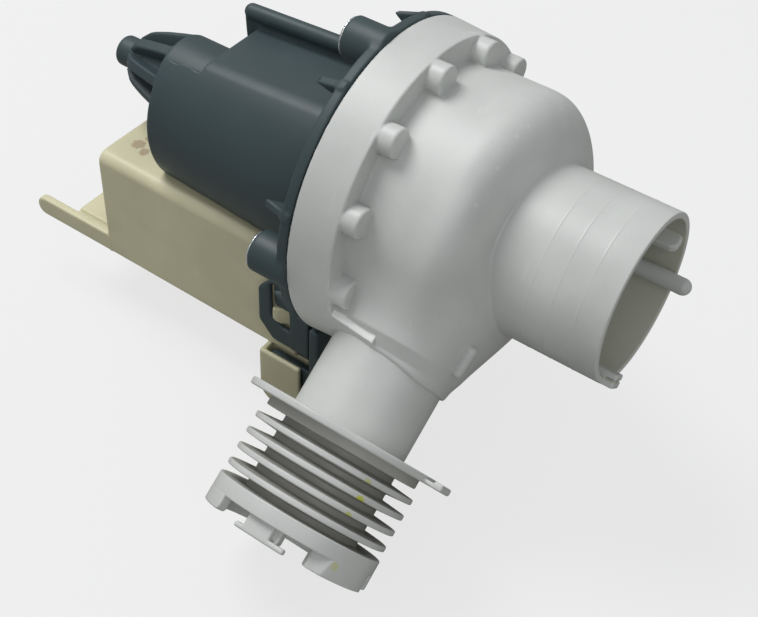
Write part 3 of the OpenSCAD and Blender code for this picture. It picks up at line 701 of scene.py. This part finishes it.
def shade(colour, factor):
    return tuple(min(channel * factor, 1) for channel in colour) + (1.0,)


def moulded(name, colour, rough, scuffs=0.25, grain_mm=0.012, spots=None):
    """Moulded plastic: cloudy tone, worn edges, painted shade in corners and creases, light scuffs and a fine
    grain.
    """
    shader = Shader(name)
    cloud = shader.noise(28, 3)
    speck = shader.noise(1.1, 2)
    tone = shader.mix(shader.ramp(cloud, 0.3, 0.7), shade(colour, 0.93), shade(colour, 1.05))
    tone = shader.mix(shader.ramp(speck, 0.62, 0.8, 0, 0.35), tone, shade(colour, 0.8))
    edge = shader.add("NewGeometry").outputs["Pointiness"]
    tone = shader.mix(shader.ramp(edge, 0.51, 0.6, 0, 0.5), tone, shade(colour, 1.18))
    # Painted shade: concave corners and creases, where pointiness is low, are darkened.
    tone = shader.mix(shader.ramp(edge, 0.49, 0.42, 0, 0.45), tone, shade(colour, 0.62))
    streak = shader.noise(3.0, 4, (1.0, 0.25, 0.25))
    patch = shader.ramp(shader.noise(17, 2), 0.52, 0.7)
    scuff = shader.math("MULTIPLY", shader.ramp(streak, 0.6, 0.72), patch)
    tone = shader.mix(shader.math("MULTIPLY", scuff, scuffs), tone, shade(colour, 1.25))
    for spot_colour, spot_mask in (spots(shader) if spots else ()):
        tone = shader.mix(spot_mask, tone, spot_colour)
    wear = shader.ramp(cloud, 0.3, 0.75, rough - 0.05, rough + 0.07)
    roughness = shader.math("ADD", wear, shader.math("MULTIPLY", scuff, 0.12))
    normal = shader.bump(shader.noise(0.5, 2), grain_mm)
    normal = shader.bump(shader.noise(9, 2), 0.05, normal)
    return shader.finish(tone, roughness, normal)


def dot_mask(shader, point_mm, radius_mm, ragged=0.35):
    """One inside a small ragged dot about a point in the ring's frame."""
    centre = ((point_mm[0] - MOUTH_X) * MM, point_mm[1] * MM, point_mm[2] * MM)
    away = shader.vector("DISTANCE", shader.place, centre)
    edge = shader.math("MULTIPLY", shader.noise(1.2, 2), ragged * 2 * radius_mm * MM)
    reach = shader.math("SUBTRACT", away, edge)
    return shader.ramp(reach, radius_mm * MM, radius_mm * MM * 0.6)


def outlet_distances(shader):
    """Distance along the outlet, and from its axis."""
    axis = (0, -math.sin(OUTLET_CLOCK), math.cos(OUTLET_CLOCK))
    away = shader.vector("SUBTRACT", shader.place, ((OUTLET_X - MOUTH_X) * MM, 0, 0))
    along = shader.vector("DOT_PRODUCT", away, axis)
    reach = shader.vector("LENGTH", away)
    squared = shader.math("SUBTRACT", shader.product(reach, reach), shader.product(along, along))
    return along, shader.math("SQRT", shader.math("MAXIMUM", squared, 0.0))


def fin_grime_and_shade(shader, along, radius):
    """Where grime has gathered and painted shade darkens the tube between the fins and under the flange."""
    deep = shader.ramp(radius, (STEP_R + 1.0) * MM, (STEP_R + 0.2) * MM)
    past_flange = shader.ramp(along, (STEP_S - 0.1) * MM, (STEP_S + 0.3) * MM)
    before_ring = shader.ramp(along, (END_S + 0.7) * MM, (END_S - 0.3) * MM)
    return shader.product(deep, shader.product(past_flange, before_ring), 0.75)


def ledge_end_highlight(shader, along):
    """The ledge's flat end, painted paler than the rest of the casing as a painted highlight."""
    sine, cosine = math.sin(OUTLET_CLOCK), math.cos(OUTLET_CLOCK)
    length = math.hypot(1, LEDGE_SLOPE)
    normal = (-LEDGE_SLOPE / length, cosine / length, sine / length)
    corner = ((RING_T - MOUTH_X) * MM, cosine * LEDGE_W * MM, sine * LEDGE_W * MM)
    away = shader.vector("SUBTRACT", shader.place, corner)
    above = shader.vector("DOT_PRODUCT", away, normal)
    level = shader.ramp(shader.math("ABSOLUTE", above), 0.35 * MM, 0.2 * MM)
    forward = shader.add("SeparateXYZ", Vector=away).outputs["X"]
    past_ring = shader.math("GREATER_THAN", forward, 0.4 * MM)
    before_front = shader.math("LESS_THAN", forward, (LEDGE_FRONT - RING_T - 0.1) * MM)
    outer = shader.ramp(along, LEDGE_ROOT * MM, (LEDGE_ROOT + 0.6) * MM)
    return shader.product(shader.product(past_ring, before_front), outer, level, 0.9)


def bore_wall(shader):
    """Wall of the inlet's bore near its mouth, without the fingers that stand in it."""
    flat = shader.add("Mapping", Vector=shader.place, Scale=(0, 1, 1)).outputs[0]
    from_wall = shader.math("SUBTRACT", shader.vector("LENGTH", flat), INLET_BORE * MM)
    wall = shader.ramp(shader.math("ABSOLUTE", from_wall), 0.4 * MM, 0.2 * MM)
    forward = shader.add("SeparateXYZ", Vector=shader.place).outputs["X"]
    return shader.product(wall, shader.math("GREATER_THAN", forward, -24 * MM), 0.8)


def casing_marks(shader):
    """Grime with painted shade between the fins, a painted highlight on the ledge's end, the olive bore, and
    paint on the fins and one lug.
    """
    along, radius = outlet_distances(shader)
    # Grime and painted shade between the fins and under the flange.
    yield GRIME_AND_SHADE, fin_grime_and_shade(shader, along, radius)
    # Painted highlight on the ledge's flat end.
    yield LEDGE_HIGHLIGHT, ledge_end_highlight(shader, along)
    yield OLIVE, bore_wall(shader)
    for t, s, size, strength in PAINT_DOTS:
        rim = END_R if s > END_S else FIN_R
        w = math.sqrt(max(rim * rim - t * t, 0))
        point = from_outlet(np.array([[s, w, t]]))[0]
        yield YELLOW_GREEN, shader.product(dot_mask(shader, point, size), strength)


def rust_scuffs(shader):
    """Brown scuffs on the cover's top face."""
    brown = (0.3, 0.2, 0.12, 1.0)
    for x, y, radius in ((-84.0, -18.0, 1.6), (-80.0, -20.0, 1.2), (-83.0, -14.0, 1.1)):
        yield brown, shader.math("MULTIPLY", dot_mask(shader, (x, y, COVER_TOP), radius, 0.6), 0.6)


def metal(name, colour, rough, grain_mm=0.004, stretch=None):
    """Metal with a cloudy polish and fine marks."""
    shader = Shader(name)
    cloud = shader.noise(4, 3)
    marks = shader.noise(0.6, 3, stretch)
    tone = shader.mix(shader.ramp(cloud, 0.3, 0.7), shade(colour, 0.82), shade(colour, 1.08))
    roughness = shader.ramp(marks, 0.3, 0.7, rough * 0.8, rough * 1.3)
    return shader.finish(tone, roughness, shader.bump(marks, grain_mm), 1.0)


def wound_wire(name, colour):
    """Enamelled wire, wound level round its bobbin."""
    shader = Shader(name)
    place = shader.add("SeparateXYZ", Vector=shader.place).outputs["Z"]
    turns = shader.math("SINE", shader.math("MULTIPLY", place, 2 * math.pi / (0.35 * MM)))
    tone = shader.mix(shader.ramp(turns, -1, 1), shade(colour, 0.5), shade(colour, 1.1))
    return shader.finish(tone, 0.3, shader.bump(turns, 0.08), 0.9)


def stacked_sheets(name, colour):
    """Stack of laminations, seen as fine lines across the motor axis."""
    shader = Shader(name)
    place = shader.add("SeparateXYZ", Vector=shader.place).outputs["X"]
    sheets = shader.math("SINE", shader.math("MULTIPLY", place, 2 * math.pi / (0.5 * MM)))
    rust = shader.ramp(shader.noise(5, 4), 0.6, 0.75, 0, 0.5)
    tone = shader.mix(rust, shade(colour, 1.0), (0.2, 0.11, 0.06, 1.0))
    return shader.finish(tone, 0.45, shader.bump(sheets, 0.05), 0.8)


def make_materials():
    casing = (0.605, 0.618, 0.597)
    return {
        "casing_plastic": moulded("casing_plastic", casing, 0.42, 0.3, spots=casing_marks),
        "housing_plastic": moulded("housing_plastic", (0.037, 0.060, 0.066), 0.52, 0.3, 0.01),
        "cover_plastic": moulded("cover_plastic", (0.645, 0.61, 0.415), 0.45, 0.2, spots=rust_scuffs),
        "inner_plastic": moulded("inner_plastic", (0.33, 0.33, 0.31), 0.45, 0.1),
        "seal_rubber": moulded("seal_rubber", (0.02, 0.02, 0.021), 0.6, 0.1, 0.02),
        "shaft_steel": metal("shaft_steel", (0.62, 0.62, 0.62), 0.2, 0.002, (0.1, 1, 1)),
        "screw_steel": metal("screw_steel", (0.86, 0.87, 0.88), 0.16),
        "core_steel": stacked_sheets("core_steel", (0.3, 0.31, 0.33)),
        "ferrite": moulded("ferrite", (0.05, 0.05, 0.055), 0.6, 0.1, 0.03),
        "bearing": metal("bearing", (0.45, 0.31, 0.19), 0.35, 0.01),
        "copper": wound_wire("copper", (0.62, 0.24, 0.1)),
        "tab_brass": metal("tab_brass", (0.72, 0.6, 0.33), 0.25, 0.003, (0.2, 1, 1)),
    }


# Pieces


def build_volute(material):
    def piece(name, points, quads, *nodes):
        add_piece(name, points, quads, material, "casing_plastic", *nodes)

    body = surface(casing_field, (0, -54, -52), (57, 52, 52), CASING_CELL)
    piece("volute_body", *body, "volute_casing")
    piece("inlet_tube", *lathe(spigot_outline()), "inlet_spigot")
    fingers = surface(finger_field, (64, -26, -26), (90, 26, 26), RIM_CELL)
    piece("inlet_fingers", *fingers, "inlet_spigot")
    outlet_parts = {
        "outlet_sleeve": lathe(sleeve_outline()),
        "bayonet_lugs": surface(bayonet_field, (98.5, -26, -26), (LUG_TOP, 26, 26), FINE_CELL * 1.2),
        "outlet_flange": surface(flange_field, (69, -31, -32), (73.5, 31, 35), RIM_CELL),
    }
    for name, (points, quads) in outlet_parts.items():
        piece(name, from_outlet(points), quads[:, ::-1], "volute_casing")


def build_housing(material):
    points, quads = surface(housing_field, (KNOB_END, -52, -77), (0, 52, 52), CELL)
    add_piece("motor_housing_moulding", points, quads, material, "housing_plastic", "motor_housing")


def build_cover(material):
    points, quads = surface(cover_field, (ARM_END, -36, CUP_BOTTOM), (COVER_FRONT + 5, 36, COVER_TOP), CELL)
    add_piece("stator_cover_moulding", points, quads, material, "cover_plastic", "stator_cover")


def build_screws(material):
    head, head_quads = surface(screw_head_field, (-6, -7, -7), (0.5, 7, 7), FINE_CELL)
    shank, shank_quads = lathe(rounded([(-1, 0.01), (-1, 2), (22, 2), (24, 1), (24, 0.01)], 0.3))
    for i in range(4):
        clock = math.radians(FIRST_BUMP + 90 * i)
        seat = -PLATE_T - (SHORT_BOSS if i == 2 else LONG_BOSS)
        place = np.array([seat, -SCREW_CIRCLE * math.sin(clock), SCREW_CIRCLE * math.cos(clock)])
        add_piece(f"screw_head_{i}", head + place, head_quads, material, "screw_steel", "casing_screws")
        add_piece(f"screw_shank_{i}", shank + place, shank_quads, material, "screw_steel", "casing_screws")


def dress_frame(materials):
    """Gives each CAD node that stays the material of its slot."""
    slots = {row["node"]: row["material_slot"] for row in frame["record"]["subparts"]}
    for name, node in frame["nodes"].items():
        node.data.materials.clear()
        node.data.materials.append(materials[slots[name]])


# Stage


def add_light(name, place, aim, size, power):
    data = bpy.data.lights.new(name, "AREA")
    data.shape = "DISK"
    data.size = size
    data.energy = power
    light = bpy.data.objects.new(name, data)
    light.location = place
    light.rotation_euler = (Vector(aim) - Vector(place)).to_track_quat("-Z", "Y").to_euler()
    bpy.context.collection.objects.link(light)


def build_floor():
    """Pale floor under the pump, which the camera sees brighter than it lights the pump."""
    size, low = 3.0, (CUP_BOTTOM - 0.4) * MM
    mesh = bpy.data.meshes.new("floor")
    corners = [(-size, -size, low), (size, -size, low), (size, size, low), (-size, size, low)]
    mesh.from_pydata(corners, [], [(0, 1, 2, 3)])
    shader = Shader("floor_paper")
    paper = shader.add("BsdfDiffuse", Color=(0.86, 0.86, 0.86, 1))
    bright = shader.add("Emission", Color=(0.875, 0.875, 0.875, 1), Strength=1.0)
    dim = shader.add("BsdfDiffuse", Color=(0.33, 0.325, 0.305, 1))
    seen = shader.add("MixShader", i0=0.84, i1=paper.outputs[0], i2=bright.outputs[0])
    camera_ray = shader.add("LightPath").outputs["Is Camera Ray"]
    both = shader.add("MixShader", i0=camera_ray, i1=dim.outputs[0], i2=seen.outputs[0])
    shader.add("OutputMaterial", Surface=both.outputs[0])
    mesh.materials.append(shader.material)
    floor = bpy.data.objects.new("floor", mesh)
    bpy.context.collection.objects.link(floor)


def build_world():
    """White surroundings, brighter to the camera than to the pump."""
    world = bpy.data.worlds.new("studio")
    bpy.context.scene.world = world
    world.use_nodes = True
    nodes, links = world.node_tree.nodes, world.node_tree.links
    nodes.clear()
    path = nodes.new("ShaderNodeLightPath")
    lit, seen = nodes.new("ShaderNodeBackground"), nodes.new("ShaderNodeBackground")
    lit.inputs["Color"].default_value = (0.95, 0.98, 1.0, 1)
    lit.inputs["Strength"].default_value = 0.4
    seen.inputs["Color"].default_value = (0.88, 0.88, 0.88, 1)
    blend, out = nodes.new("ShaderNodeMixShader"), nodes.new("ShaderNodeOutputWorld")
    links.new(path.outputs["Is Camera Ray"], blend.inputs[0])
    links.new(lit.outputs[0], blend.inputs[1])
    links.new(seen.outputs[0], blend.inputs[2])
    links.new(blend.outputs[0], out.inputs[0])


def add_lights():
    """A soft light above the motor, and a weaker one in front of the inlet."""
    add_light("overhead", (-0.5, -0.02, 0.8), (-0.06, 0, 0), 0.5, 5.4)
    add_light("front_fill", (0.7, -0.75, 0.75), (-0.05, 0, 0), 0.8, 2.1)


def add_camera():
    """The photograph's camera, solved from the ring, the spigot and the outlet."""
    data = bpy.data.cameras.new("camera")
    data.sensor_width = 36
    data.lens = 64.116
    data.clip_start = 0.01
    camera = bpy.data.objects.new("camera", data)
    right = Vector((0.81313074, 0.58073901, 0.03950444))
    up = Vector((-0.43207247, 0.55670976, 0.70949815))
    back = right.cross(up)
    turn = Matrix((right, up, back)).transposed()
    camera.matrix_world = Matrix.Translation((0.084147, -0.256513, 0.249084)) @ turn.to_4x4()
    bpy.context.collection.objects.link(camera)
    bpy.context.scene.camera = camera


def main():
    materials = make_materials()
    dress_frame(materials)
    build_volute(materials["casing_plastic"])
    build_housing(materials["housing_plastic"])
    build_cover(materials["cover_plastic"])
    build_screws(materials["screw_steel"])
    build_floor()
    build_world()
    add_lights()
    add_camera()
    bpy.context.scene.view_settings.view_transform = "Standard"


main()
